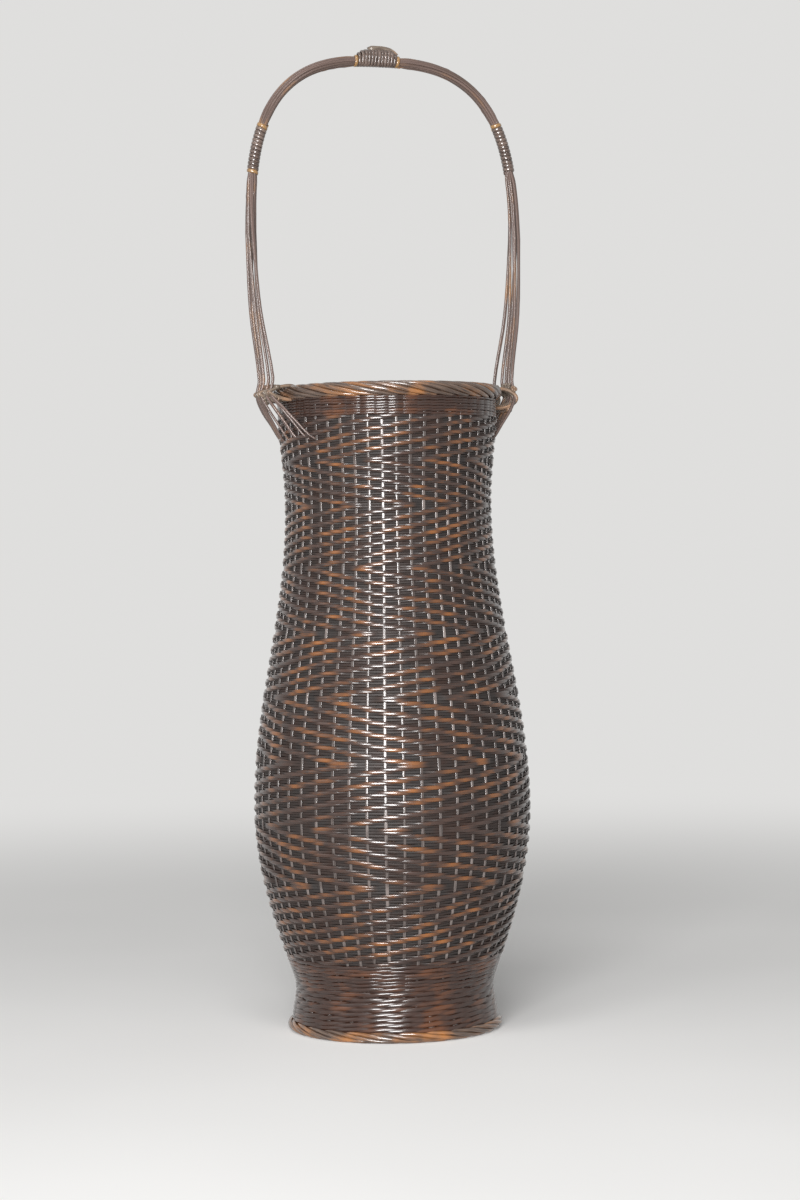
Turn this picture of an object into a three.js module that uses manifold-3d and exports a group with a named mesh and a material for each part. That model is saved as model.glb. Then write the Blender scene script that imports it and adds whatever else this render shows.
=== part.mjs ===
// Tall woven flower basket with a bundled cane handle and a water tube that lifts out.
// Millimetres, +Z up, origin at the centre of the foot's underside, handle in the XZ plane.
import * as THREE from 'three';
import { mergeVertices } from 'three/addons/utils/BufferGeometryUtils.js';
import Module from 'manifold-3d';

// Driving dimensions

const SEAM = 0.3; // clearance between pieces that touch
const ROUND_SEGMENTS = 28; // facets around every turned piece

// Wall: outer radii of the weave and the heights of its stacked bands
const WALL = 2; // thickness of the weft shell outside the stakes
const FOOT_FLARE = 0.6; // from the waist out to the middle of the foot border
const WAIST_RADIUS = 55.4;
const BELLY_RADIUS = 76;
const BELLY_RISE = 93; // from the base up to the widest row
const NECK_RADIUS = 56.7;
const NECK_DROP = 56; // from the top of the wall down to the narrowest row
const MOUTH_RADIUS = 60.5;
const FOOT_BAND_HEIGHT = 21.6;
const BASE_BAND_HEIGHT = 10.3;
const TWILL_BAND_HEIGHTS = [42.6, 30.3, 34.5, 34.3, 34.3, 34.3, 33.1, 23.7, 23.7]; // lowest first
const NECK_BAND_HEIGHT = 9.4;

// Rolled borders at the foot and the mouth
const FOOT_BORDER = 6.6; // thickness of the foot border
const FOOT_FLAT = 0.5; // depth of the flat that the basket stands on
const MOUTH_BORDER = 8; // thickness of the mouth border
const BORDER_SIDES = 8;

// Base and stakes
const BASE_THICK = 2.5;
const STAKE_COUNT = 48;
const STAKE_WIDTH = 2.4;
const STAKE_THICK = 1;
const STAKE_HOOP_HEIGHT = 2;

// Handle: canes gathered in one bundle over the crown and fanned out as legs at the mouth
const CANE_COUNT = 5;
const CANE = 2.2; // diameter of one cane
const BUNDLE_TURN_ANGLE = 9; // degrees that the bundle's section is turned
const HANDLE_HALF_SPAN = 76.8; // from the axis to the bundle's centre at the spring line
const LEG_HEIGHT = 82; // from the top of the mouth border to the spring line
const ARCH_RISE = 97; // from the spring line to the crown
const ARCH_POWER = 2.8; // squareness of the arch, 2 being an ellipse
const LEG_STANDOFF = 6.8; // free gap between the mouth border and a leg
const LEG_BOW_SHARE = 0.65; // share of the legs' outward sweep that they reach at half height
const LEG_STEP_ANGLE = 4.8; // degrees between neighbouring legs at the mouth
const LEG_SPLAY_RATIO = 2.1; // spread of the leg tips against their spread at the mouth
const TUCK_DROP = 24; // from the top of the wall down to the leg tips
const TUCK_LENGTH = 7; // stretch of a leg that lies on the wall
const CANE_SIDES = 6;
const CANE_STEPS = 2; // steps between two stations of a cane

// Bindings wound round the bundle
const STRIP = 0.9; // thickness of the binding strip
const LEFT_BINDING_RISE = 33.4; // along the arch from the spring line to the binding
const RIGHT_BINDING_RISE = 38.8;
const SIDE_BINDING_LENGTH = 27.4;
const SIDE_BINDING_TURNS = 13;
const CROWN_BINDING_SHIFT = 3; // from the top of the arch towards the left
const CROWN_BINDING_LENGTH = 26;
const CROWN_BINDING_TURNS = 14;
const LOOP_STEPS = 12;
const LOOP_SIDES = 5;
const TUCK_TAB_LENGTH = 15; // strip end laid over the crown binding
const TUCK_TAB_WIDTH = 3.2;
const TUCK_TAB_THICK = 1.2;

// Ties that hold the legs to the mouth border
const TIE = 1; // thickness of a tie
const TIE_CLEARANCE = 0.3; // between a tie and its leg

// Water tube: one joint of bamboo, closed below by its own node
const TUBE_RADIUS = 38;
const TUBE_WALL = 5;
const TUBE_FLOOR = 6;
const TUBE_HEIGHT = 278;

// Heights worked out from the stack of pieces

const footBandZ = FOOT_BORDER - FOOT_FLAT + SEAM;
const baseZ = footBandZ + FOOT_BAND_HEIGHT + SEAM;
const baseTopZ = baseZ + BASE_THICK;
const baseBandZ = baseTopZ + SEAM;
const twillZ = baseBandZ + BASE_BAND_HEIGHT + SEAM;
const twillEdges = [twillZ];
TWILL_BAND_HEIGHTS.forEach((height) => twillEdges.push(twillEdges.at(-1) + height + SEAM));
const neckBandZ = twillEdges.at(-1);
const wallTopZ = neckBandZ + NECK_BAND_HEIGHT;
const bellyZ = baseZ + BELLY_RISE;
const neckZ = wallTopZ - NECK_DROP;
const mouthBorderZ = wallTopZ + SEAM + MOUTH_BORDER / 2;
const mouthTopZ = mouthBorderZ + MOUTH_BORDER / 2;
const springZ = mouthTopZ + LEG_HEIGHT;

// Radii that one piece takes from another

const footBorderRadius = WAIST_RADIUS + FOOT_FLARE;
const footWallRadius = footBorderRadius + WALL / 2;
const mouthBorderRadius = MOUTH_RADIUS - WALL / 2;
const mouthOuterRadius = mouthBorderRadius + MOUTH_BORDER / 2;
const legRadius = mouthOuterRadius + LEG_STANDOFF + CANE / 2;
const bundleRing = (CANE + SEAM) / (2 * Math.sin(Math.PI / CANE_COUNT));
const bundleRadius = bundleRing + CANE / 2;
const windingRadius = bundleRadius + SEAM + STRIP / 2;

// Colours and finishes

const finish = (color, roughness) => new THREE.MeshStandardMaterial({ color, roughness, metalness: 0 });
const WEFT_FINISH = finish(0x2b1a14, 0.35);
const BORDER_FINISH = finish(0x5a3d2c, 0.4);
const STAKE_FINISH = finish(0x4a3328, 0.4);
const CANE_FINISH = finish(0x6b5546, 0.45);
const STRIP_FINISH = finish(0x38261e, 0.35);
const TIE_FINISH = finish(0x8a7460, 0.5);
const TUBE_FINISH = finish(0x8c6d43, 0.5);

// Shape tools

const wasm = await Module();
wasm.setup();

// A closed solid for joining, with its shared corners merged.
function solidOf(geometry) {
  const bare = geometry.clone();
  bare.deleteAttribute('normal');
  bare.deleteAttribute('uv');
  const merged = mergeVertices(bare);
  return new wasm.Manifold(new wasm.Mesh({
    numProp: 3,
    vertProperties: new Float32Array(merged.attributes.position.array),
    triVerts: new Uint32Array(merged.index.array),
  }));
}

function geometryOf(solid) {
  const mesh = solid.getMesh();
  const geometry = new THREE.BufferGeometry();
  geometry.setAttribute('position', new THREE.BufferAttribute(new Float32Array(mesh.vertProperties), 3));
  geometry.setIndex(new THREE.BufferAttribute(new Uint32Array(mesh.triVerts), 1));
  geometry.computeVertexNormals();
  return geometry;
}

// Turns a profile of radius and height about the Z axis.
function turned(profile) {
  const points = profile.map(([radius, z]) => new THREE.Vector2(radius, z));
  return new THREE.LatheGeometry(points, ROUND_SEGMENTS).rotateX(Math.PI / 2);
}

// A closed round section with an optional flat on its underside.
function roundSection(radius, z, thickness, flat) {
  const half = thickness / 2;
  const open = Math.acos((half - flat) / half);
  const start = -Math.PI / 2 + open;
  const sweep = 2 * Math.PI - 2 * open;
  const count = flat > 0 ? BORDER_SIDES - 1 : BORDER_SIDES;
  const profile = [];
  for (let i = 0; i <= count; i += 1) {
    const angle = start + sweep * i / count;
    profile.push([radius + half * Math.cos(angle), z + half * Math.sin(angle)]);
  }
  if (flat > 0) {
    profile.push(profile[0]);
  }
  return profile;
}

// A curve that is sampled evenly between its stations, so that neighbouring canes facet alike.
class StationCurve extends THREE.CatmullRomCurve3 {
  getUtoTmapping(u) {
    return u;
  }
}

// A winding: a helix about the arch between two distances from its top.
class WindingCurve extends THREE.Curve {
  constructor(from, to, turns) {
    super();
    this.from = from;
    this.to = to;
    this.turns = turns;
  }

  getPoint(t) {
    const angle = 2 * Math.PI * this.turns * t;
    const along = THREE.MathUtils.lerp(this.from, this.to, t);
    return besideArch(along, windingRadius * Math.cos(angle), windingRadius * Math.sin(angle));
  }

  getUtoTmapping(u) {
    return u;
  }
}

function roundShape(diameter, sides) {
  const corners = [];
  for (let i = 0; i < sides; i += 1) {
    const angle = 2 * Math.PI * i / sides;
    corners.push(new THREE.Vector2(Math.cos(angle), Math.sin(angle)).multiplyScalar(diameter / 2));
  }
  return new THREE.Shape(corners);
}

function flatShape(width, thickness) {
  const x = width / 2;
  const y = thickness / 2;
  const corners = [[-x, -y], [x, -y], [x, y], [-x, y]];
  return new THREE.Shape(corners.map((corner) => new THREE.Vector2(...corner)));
}

function swept(shape, path, steps) {
  return new THREE.ExtrudeGeometry(shape, { extrudePath: path, steps, bevelEnabled: false });
}

// Outer form of the wall: a foot that flares to its border, a quarter sine out to the belly,
// a half cosine in to the neck and another out to the mouth.
function wallRadius(z) {
  const rise = (from, to) => THREE.MathUtils.clamp((z - from) / (to - from), 0, 1);
  const soft = (t) => (1 - Math.cos(Math.PI * t)) / 2;
  if (z < baseZ) {
    const flare = 1 - rise(footBandZ, baseZ);
    return WAIST_RADIUS + (footWallRadius - WAIST_RADIUS) * flare ** 2;
  }
  if (z < bellyZ) {
    return THREE.MathUtils.lerp(WAIST_RADIUS, BELLY_RADIUS, Math.sin(rise(baseZ, bellyZ) * Math.PI / 2));
  }
  if (z < neckZ) {
    return THREE.MathUtils.lerp(BELLY_RADIUS, NECK_RADIUS, soft(rise(bellyZ, neckZ)));
  }
  return THREE.MathUtils.lerp(NECK_RADIUS, MOUTH_RADIUS, soft(rise(neckZ, wallTopZ)));
}

// Centreline of the arch: the upper half of a superellipse standing on the spring line.
function archLine() {
  const count = 48;
  const power = 2 / ARCH_POWER;
  const points = [];
  for (let i = 0; i <= count; i += 1) {
    const turn = Math.PI * i / count;
    const x = Math.sign(Math.cos(turn)) * Math.abs(Math.cos(turn)) ** power;
    const z = Math.abs(Math.sin(turn)) ** power;
    points.push(new THREE.Vector3(HANDLE_HALF_SPAN * x, 0, springZ + ARCH_RISE * z));
  }
  const curve = new THREE.CatmullRomCurve3(points, false, 'centripetal');
  curve.arcLengthDivisions = 600;
  return curve;
}

const arch = archLine();
const archHalfLength = arch.getLength() / 2;

// Ends of the bindings, as distances along the arch from its top towards +X
const leftLow = LEFT_BINDING_RISE - archHalfLength;
const leftHigh = leftLow + SIDE_BINDING_LENGTH;
const rightLow = archHalfLength - RIGHT_BINDING_RISE;
const rightHigh = rightLow - SIDE_BINDING_LENGTH;
const crownLeft = -CROWN_BINDING_SHIFT - CROWN_BINDING_LENGTH / 2;
const crownRight = crownLeft + CROWN_BINDING_LENGTH;

// A point beside the arch, at a distance along it from its top towards +X, and out and across from it.
function besideArch(along, out, across) {
  const t = 0.5 - along / (2 * archHalfLength);
  const point = arch.getPointAt(t);
  const tangent = arch.getTangentAt(t);
  const outward = new THREE.Vector3(tangent.z, 0, -tangent.x);
  return point.addScaledVector(outward, out).add(new THREE.Vector3(0, across, 0));
}

// Sub-parts

const basket = new THREE.Group();
basket.name = 'flower_basket';

function addPart(name, geometry, material) {
  const mesh = new THREE.Mesh(geometry, material);
  mesh.name = name;
  basket.add(mesh);
}

// A ring of the wall between two heights.
function wallBand(low, high) {
  const outer = [low, high].map((z) => [wallRadius(z), z]);
  const inner = [high, low].map((z) => [wallRadius(z) - WALL, z]);
  return turned([...outer, ...inner, outer[0]]);
}

function addWall() {
  addPart('foot_band', wallBand(footBandZ, baseZ - SEAM), WEFT_FINISH);
  addPart('base_band', wallBand(baseBandZ, twillZ - SEAM), WEFT_FINISH);
  TWILL_BAND_HEIGHTS.forEach((height, index) => {
    const low = twillEdges[index];
    addPart(`weft_band_${index + 1}`, wallBand(low, low + height), WEFT_FINISH);
  });
  addPart('neck_band', wallBand(neckBandZ, wallTopZ), WEFT_FINISH);
}

function addBorders() {
  const foot = roundSection(footBorderRadius, FOOT_BORDER / 2 - FOOT_FLAT, FOOT_BORDER, FOOT_FLAT);
  const mouth = roundSection(mouthBorderRadius, mouthBorderZ, MOUTH_BORDER, 0);
  addPart('foot_border', turned(foot), BORDER_FINISH);
  addPart('mouth_border', turned(mouth), BORDER_FINISH);
}

// The base is a round mat whose edge lies between the foot band and the base band.
function addBase() {
  const edge = wallRadius(baseTopZ) - WALL / 2;
  addPart('base_mat', turned([[0, baseZ], [edge, baseZ], [edge, baseTopZ], [0, baseTopZ]]), STAKE_FINISH);
}

// Upright stakes close inside the weft, bent where its bands meet, on a hoop at the edge of the base.
function addStakes() {
  const facetInset = Math.cos(Math.PI / ROUND_SEGMENTS);
  const stakeRadius = (z) => (wallRadius(z) - WALL) * facetInset - SEAM - STAKE_THICK / 2;
  const hoopTopZ = baseBandZ + STAKE_HOOP_HEIGHT;
  const heights = [baseBandZ + STAKE_HOOP_HEIGHT / 2, ...twillEdges, wallTopZ];
  const path = new StationCurve(heights.map((z) => new THREE.Vector3(stakeRadius(z), 0, z)));
  const stake = swept(flatShape(STAKE_WIDTH, STAKE_THICK), path, heights.length - 1);
  const hoopOuter = stakeRadius(baseBandZ) + STAKE_THICK / 2;
  const hoopInner = hoopOuter - 2 * STAKE_THICK;
  const hoop = [
    [hoopInner, baseBandZ], [hoopOuter, baseBandZ], [hoopOuter, hoopTopZ], [hoopInner, hoopTopZ],
    [hoopInner, baseBandZ],
  ];
  let cage = solidOf(turned(hoop));
  for (let i = 0; i < STAKE_COUNT; i += 1) {
    const turn = 2 * Math.PI * i / STAKE_COUNT;
    cage = cage.add(solidOf(stake.clone().rotateZ(turn)));
  }
  addPart('stake_cage', geometryOf(cage), STAKE_FINISH);
}

// Places of the canes in the bundle, as out and across, sorted so that their legs don't cross.
function bundlePlaces() {
  const places = [];
  for (let i = 0; i < CANE_COUNT; i += 1) {
    const angle = THREE.MathUtils.degToRad(BUNDLE_TURN_ANGLE) + 2 * Math.PI * i / CANE_COUNT;
    places.push({ out: bundleRing * Math.cos(angle), across: bundleRing * Math.sin(angle) });
  }
  return places.sort((a, b) => a.across - b.across);
}

// Turn of a leg about the basket's axis at the mouth, counted from the handle's plane.
const legTurn = (index) => THREE.MathUtils.degToRad(LEG_STEP_ANGLE * (index - (CANE_COUNT - 1) / 2));

function aroundAxis(side, radius, turn, z) {
  return new THREE.Vector3(side * radius * Math.cos(turn), radius * Math.sin(turn), z);
}

// Stations of one leg, from its tip on the wall up to the spring line.
function legStations(side, index, place) {
  const turn = legTurn(index);
  const tipZ = wallTopZ - TUCK_DROP;
  const onWall = (z) => wallRadius(z) + SEAM + CANE / 2;
  const gatherZ = besideArch(side < 0 ? leftLow : rightLow, 0, 0).z;
  const midZ = (springZ + mouthTopZ) / 2;
  const fanned = (z, radius) => {
    const spread = (gatherZ - z) / (gatherZ - mouthBorderZ);
    const across = THREE.MathUtils.lerp(place.across, legRadius * Math.sin(turn), spread);
    return new THREE.Vector3(side * (radius + place.out * (1 - spread)), across, z);
  };
  const landingZ = tipZ + TUCK_LENGTH;
  const landingTurn = THREE.MathUtils.lerp(LEG_SPLAY_RATIO, 1, TUCK_LENGTH / (mouthBorderZ - tipZ)) * turn;
  return [
    aroundAxis(side, onWall(tipZ), LEG_SPLAY_RATIO * turn, tipZ),
    aroundAxis(side, onWall(landingZ), landingTurn, landingZ),
    aroundAxis(side, legRadius, turn, mouthBorderZ),
    fanned(midZ, THREE.MathUtils.lerp(legRadius, HANDLE_HALF_SPAN, LEG_BOW_SHARE)),
    fanned(springZ, HANDLE_HALF_SPAN),
  ];
}

// Each cane runs from its left tip over the crown to its right tip.
function addCanes() {
  const between = (a, b) => (a + b) / 2;
  const arcs = [
    leftLow, leftHigh, between(leftHigh, crownLeft), crownLeft, between(crownLeft, crownRight),
    crownRight, between(crownRight, rightHigh), rightHigh, rightLow,
  ];
  bundlePlaces().forEach((place, index) => {
    const overArch = arcs.map((along) => besideArch(along, place.out, place.across));
    const left = legStations(-1, index, place);
    const right = legStations(1, index, place).reverse();
    const stations = [...left, ...overArch, ...right];
    const path = new StationCurve(stations, false, 'centripetal');
    const cane = swept(roundShape(CANE, CANE_SIDES), path, (stations.length - 1) * CANE_STEPS);
    addPart(`handle_cane_${index + 1}`, cane, CANE_FINISH);
  });
}

// Least gap between the loops of a winding, measured on points along it.
function leastGap(path, turns) {
  const perTurn = 48;
  const points = path.getPoints(perTurn * turns);
  let least = Infinity;
  points.forEach((point, i) => {
    points.slice(i + perTurn / 2).forEach((other) => {
      least = Math.min(least, point.distanceTo(other));
    });
  });
  return least - STRIP;
}

function addBinding(name, from, to, turns) {
  const path = new WindingCurve(from, to, turns);
  addPart(name, swept(roundShape(STRIP, LOOP_SIDES), path, turns * LOOP_STEPS), STRIP_FINISH);
  console.log(`${name}: least gap to itself ${leastGap(path, turns).toFixed(2)} mm`);
}

function addBindings() {
  addBinding('binding_left', leftLow, leftHigh, SIDE_BINDING_TURNS);
  addBinding('binding_right', rightHigh, rightLow, SIDE_BINDING_TURNS);
  addBinding('binding_crown', crownLeft, crownRight, CROWN_BINDING_TURNS);
  const tabOut = windingRadius + STRIP / 2 + SEAM + TUCK_TAB_THICK / 2;
  const tabShares = [-1 / 2, -1 / 4, 0, 1 / 4, 1 / 2];
  const tabArcs = tabShares.map((share) => share * TUCK_TAB_LENGTH - CROWN_BINDING_SHIFT);
  const tabPath = new StationCurve(tabArcs.map((along) => besideArch(along, tabOut, 0)));
  const tabShape = flatShape(TUCK_TAB_WIDTH, TUCK_TAB_THICK);
  addPart('crown_tuck', swept(tabShape, tabPath, tabArcs.length - 1), STRIP_FINISH);
}

// A tie starts on the mouth border, goes round the outside of its leg and ends on the border.
function addTies() {
  const reach = CANE / 2 + TIE_CLEARANCE + TIE / 2;
  const start = mouthOuterRadius + SEAM;
  const bends = [-90, -45, 0, 45, 90].map((angle) => THREE.MathUtils.degToRad(angle));
  const loop = [
    [start, -reach],
    ...bends.map((angle) => [legRadius + reach * Math.cos(angle), reach * Math.sin(angle)]),
    [start, reach],
  ];
  const path = new StationCurve(loop.map(([out, across]) => new THREE.Vector3(out, across, mouthBorderZ)));
  const tie = swept(roundShape(TIE, LOOP_SIDES), path, loop.length - 1);
  for (let index = 0; index < CANE_COUNT; index += 1) {
    const turn = legTurn(index);
    addPart(`rim_tie_right_${index + 1}`, tie.clone().rotateZ(turn), TIE_FINISH);
    addPart(`rim_tie_left_${index + 1}`, tie.clone().rotateZ(Math.PI - turn), TIE_FINISH);
  }
}

function addWaterTube() {
  const low = baseTopZ + SEAM;
  const high = low + TUBE_HEIGHT;
  const bore = TUBE_RADIUS - TUBE_WALL;
  const profile = [
    [0, low], [TUBE_RADIUS, low], [TUBE_RADIUS, high], [bore, high], [bore, low + TUBE_FLOOR],
    [0, low + TUBE_FLOOR],
  ];
  addPart('water_tube', turned(profile), TUBE_FINISH);
}

addBorders();
addWall();
addBase();
addStakes();
addCanes();
addBindings();
addTies();
addWaterTube();

export default basket;
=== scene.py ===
"""A tall woven flower basket: every strip of its weave, its rolled borders, its bound cane handle and the
bamboo water tube inside it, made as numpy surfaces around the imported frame."""

import bpy
import numpy as np
from bpy.props import FloatProperty, FloatVectorProperty, IntProperty, IntVectorProperty, PointerProperty
from bpy.types import Operator, Panel, PropertyGroup
from mathutils import Matrix, Vector


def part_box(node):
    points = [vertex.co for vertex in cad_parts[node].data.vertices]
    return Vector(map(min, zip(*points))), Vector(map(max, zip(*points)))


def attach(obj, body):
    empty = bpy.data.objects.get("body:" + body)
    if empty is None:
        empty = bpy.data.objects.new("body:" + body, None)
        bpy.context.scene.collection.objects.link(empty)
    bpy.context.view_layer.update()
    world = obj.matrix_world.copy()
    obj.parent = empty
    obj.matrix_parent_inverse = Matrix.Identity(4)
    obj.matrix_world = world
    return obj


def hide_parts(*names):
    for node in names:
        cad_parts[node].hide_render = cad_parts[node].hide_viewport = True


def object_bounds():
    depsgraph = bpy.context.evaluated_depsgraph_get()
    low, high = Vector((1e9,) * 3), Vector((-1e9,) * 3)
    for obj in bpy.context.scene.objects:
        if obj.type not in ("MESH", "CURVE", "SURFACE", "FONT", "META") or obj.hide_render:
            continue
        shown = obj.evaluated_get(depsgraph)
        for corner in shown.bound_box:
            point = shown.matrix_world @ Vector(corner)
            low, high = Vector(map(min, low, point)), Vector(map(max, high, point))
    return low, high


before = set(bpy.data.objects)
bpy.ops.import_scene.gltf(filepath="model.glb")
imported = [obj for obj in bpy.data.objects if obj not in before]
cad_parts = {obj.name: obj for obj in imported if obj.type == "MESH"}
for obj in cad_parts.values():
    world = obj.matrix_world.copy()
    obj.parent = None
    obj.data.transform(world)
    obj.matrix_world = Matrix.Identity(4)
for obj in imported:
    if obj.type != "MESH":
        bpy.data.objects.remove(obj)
CAD_BOX = [list(corner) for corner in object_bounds()]

bl_info = {
    "name": "Woven flower basket",
    "version": (1, 0, 0),
    "blender": (4, 5, 0),
    "location": "3D View > Sidebar > Basket",
    "description": "Builds a tall woven flower basket with an arched cane handle and a water tube",
    "category": "Add Mesh",
}

TWILL_NODES = [f"weft_band_{number}" for number in range(1, 10)]
BAND_NODES = ["foot_band", "base_band", *TWILL_NODES, "neck_band"]
SIDES = {"left": -1, "right": 1}
CANES = 5

# Upwards, and square to the plane of the handle's arch
UP = np.array((0.0, 0.0, 1.0))
ACROSS = np.array((0.0, 1.0, 0.0))


# Sizes and colours that a user may change

def length(name, default, description):
    """A size in metres."""
    return FloatProperty(name=name, description=description, default=default, unit="LENGTH", precision=5)


def share(name, default, description):
    """A plain number with no unit."""
    return FloatProperty(name=name, description=description, default=default, precision=3)


def angle(name, default, description):
    """An angle, given in degrees and kept in radians."""
    return FloatProperty(name=name, description=description, default=np.radians(default), subtype="ANGLE")


def count(name, default, description):
    """A whole number."""
    return IntProperty(name=name, description=description, default=default, min=1)


def angles(name, default, description):
    """Several angles, given in degrees and kept in radians."""
    return FloatVectorProperty(name=name, description=description, default=np.radians(default),
                               subtype="EULER", size=len(default))


def colour(name, default, description):
    """A linear colour."""
    return FloatVectorProperty(name=name, description=description, default=default, subtype="COLOR",
                               size=3, min=0.0, max=1.0)


class WeaveSizes(PropertyGroup):
    """Counts and sizes of the woven wall and floor."""

    stakes: count("Stakes", 48, "Upright strips round the wall")
    stake_width: length("Stake width", 0.0018, "Width of an upright strip")
    stake_thick: length("Stake thickness", 0.0005, "Thickness of an upright strip")
    strip_thick: length("Weft thickness", 0.0006, "Thickness of a weft strip")
    float_swell: length("Float swell", 0.0003, "How far a float's middle stands out")
    float_round: length("Float roundness", 0.0003, "How much a float's section swells at its middle")
    float_tilt: share("Float tilt", 0.12, "Rise of a float along its length, in row heights")
    over: count("Over", 2, "Stakes that a twill strip passes over")
    under: count("Under", 2, "Stakes that a twill strip then passes under")
    twill_rows: IntVectorProperty(name="Twill rows", description="Rows of each twill band, from the base up",
                                  size=len(TWILL_NODES), default=(28, 19, 22, 22, 23, 25, 24, 19, 18))
    neck_rows: count("Neck rows", 7, "Twined rows under the mouth")
    base_rows: count("Base rows", 6, "Twined rows above the foot")
    foot_rows: count("Foot rows", 9, "Twined rows of the foot")
    twine_depth: length("Twine depth", 0.00056, "How far twined strands swing in and out of the stakes")
    mat_spokes: count("Mat spokes", 24, "Radial strips of the floor")
    mat_rings: count("Mat rings", 30, "Woven rings of the floor")


class BorderSizes(PropertyGroup):
    """Strands of the two rolled borders."""

    mouth_strands: count("Mouth strands", 7, "Strands rolled into the mouth border")
    mouth_turns: count("Mouth turns", 5, "Turns of a strand in one round of the mouth")
    foot_strands: count("Foot strands", 5, "Strands rolled into the foot border")
    foot_turns: count("Foot turns", 5, "Turns of a strand in one round of the foot")


class HandleSizes(PropertyGroup):
    """Sizes of the cane handle, its bindings and its ties."""

    half_span: length("Half span", 0.0768, "Half of the arch's width at its spring")
    spring: length("Spring height", 0.4349, "Height where the arch starts")
    rise: length("Arch rise", 0.097, "Height of the arch over its spring")
    power: share("Arch power", 2.8, "Power of the arch's superellipse")
    ring: length("Bundle ring", 0.0021, "Radius on which the split canes lie in the bundle")
    draw_in: share("Draw in", 0.25, "Share of the ring by which a binding draws the canes together")
    split_angle: angle("Split angle", 14.0, "Half of the angle between a cane's two halves in the bundle")
    bundle_turn: angle("Bundle turn", 9.0, "Turn of the bundle's five canes")
    split_width: length("Split width", 0.00125, "Width of half a cane")
    leg_radius: length("Leg radius", 0.0714, "Distance of the legs from the axis at the mouth")
    leg_step: angle("Leg step", 4.8, "Angle between neighbouring legs at the mouth")
    left_stray: angles("Left stray", (-0.8, -1.2, 1.0, 0.4, 0.2),
                       "Turn of each left leg from its even place")
    right_stray: angles("Right stray", (-1.0, 0.4, -1.2, -1.2, 1.0),
                        "Turn of each right leg from its even place")
    leg_bow: share("Leg bow", 0.65, "Share of the legs' slant that is taken up halfway")
    tail_splay: share("Tail splay", 2.1, "How much wider the tails spread than the legs")
    tail_split: angle("Tail split", 2.4, "Half of the angle between a cane's two tails")
    tail_drop: length("Tail drop", 0.0215, "How far the tails end below the wall's top")
    left_gather: length("Left gather", 0.0334, "Length above the spring where the left legs gather")
    right_gather: length("Right gather", 0.0388, "Length above the spring where the right legs gather")
    binding_length: length("Binding length", 0.0274, "Length of a side binding")
    binding_turns: count("Binding turns", 13, "Turns of a side binding")
    crown_shift: length("Crown shift", 0.003, "How far left of the arch's top the crown binding lies")
    crown_length: length("Crown length", 0.026, "Length of the crown binding")
    crown_turns: count("Crown turns", 14, "Turns of the crown binding")
    crown_swell: length("Crown swell", 0.0034, "Rise of the mound under the crown binding")
    strip_thick: length("Binding thickness", 0.0009, "Thickness of a binding strip")
    tie_width: length("Tie width", 0.0018, "Width of a tie strip")
    tie_thick: length("Tie thickness", 0.0009, "Thickness of a tie strip")


class TubeSizes(PropertyGroup):
    """Sizes of the bamboo water tube that the frame doesn't give."""

    wall: length("Wall", 0.005, "Thickness of the culm's wall")
    floor: length("Floor", 0.006, "Thickness of the joint that closes the culm")
    joint_swell: length("Joint swell", 0.0007, "Height of the ridges at a joint")
    joint_place: share("Joint place", 0.62, "Place of the upper joint along the culm")


class Finishes(PropertyGroup):
    """Linear colours of the strips and of the tube."""

    weft_dark: colour("Weft dark", (0.022, 0.012, 0.009), "Stain in the grain of the weft")
    weft_body: colour("Weft", (0.044, 0.020, 0.013), "Stained weft")
    weft_worn: colour("Weft worn", (0.203, 0.070, 0.014), "Weft where the stain has worn")
    # Partly real dust and partly painted sheen: this grey stands for the soft reflection on the weft where
    # it lies deep between the stakes
    weft_dust_and_sheen: colour("Weft dust and sheen", (0.029, 0.026, 0.025), "Dulled weft between the stakes")
    twine_body: colour("Twine", (0.037, 0.015, 0.009), "Stained twined strand")
    twine_worn: colour("Twine worn", (0.171, 0.056, 0.016), "Twined strand where the stain has worn")
    twine_dust: colour("Twine dust", (0.024, 0.015, 0.013), "Dulled twined strand")
    stake_body: colour("Stake", (0.099, 0.083, 0.077), "Stained stake")
    stake_worn: colour("Stake worn", (0.180, 0.151, 0.140), "Stake where it is rubbed")
    border_body: colour("Border", (0.106, 0.068, 0.048), "Stained border strand")
    border_worn: colour("Border worn", (0.324, 0.131, 0.036), "Border strand where the stain has worn")
    border_dust: colour("Border dust", (0.160, 0.132, 0.108), "Dulled border strand")
    cane_body: colour("Cane", (0.132, 0.091, 0.079), "Greyed cane")
    cane_worn: colour("Cane worn", (0.215, 0.112, 0.050), "Cane where the stain has worn")
    cane_dark: colour("Cane dark", (0.060, 0.042, 0.034), "Stain in the grain of the cane")
    binding_body: colour("Binding", (0.128, 0.090, 0.073), "Stained binding strip")
    binding_worn: colour("Binding end", (0.243, 0.135, 0.050), "Golden first and last turn")
    tie_body: colour("Tie", (0.184, 0.148, 0.116), "Pale tie strip")
    tie_worn: colour("Tie worn", (0.320, 0.168, 0.088), "Tie strip where it is rubbed")
    culm_body: colour("Culm", (0.460, 0.330, 0.155), "Bare bamboo")
    culm_streak: colour("Culm streak", (0.330, 0.215, 0.090), "Fibres of the bamboo")
    floor: colour("Floor", (0.740, 0.735, 0.725), "Pale studio floor")


class StageSettings(PropertyGroup):
    """Camera and light."""

    distance: length("Camera distance", 1.5125, "Distance of the camera from the basket's axis")
    azimuth: angle("Camera azimuth", -20.0, "Turn of the camera round the basket")
    eye: length("Eye height", 0.2585, "Height of the camera")
    tilt: angle("Tilt", -0.87, "Tilt of the camera, downwards below zero")
    aside: length("Aside", 0.0058, "How far right of the axis the camera looks")
    roll: angle("Roll", 0.8, "Roll of the camera")
    lens: share("Lens", 82.2, "Focal length in millimetres on a 36 mm frame")
    key_power: FloatProperty(name="Key power", description="Power of the soft key lamp", default=80.0,
                             unit="POWER")
    sky: share("Sky", 0.12, "Light of the surroundings on the basket")


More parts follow.
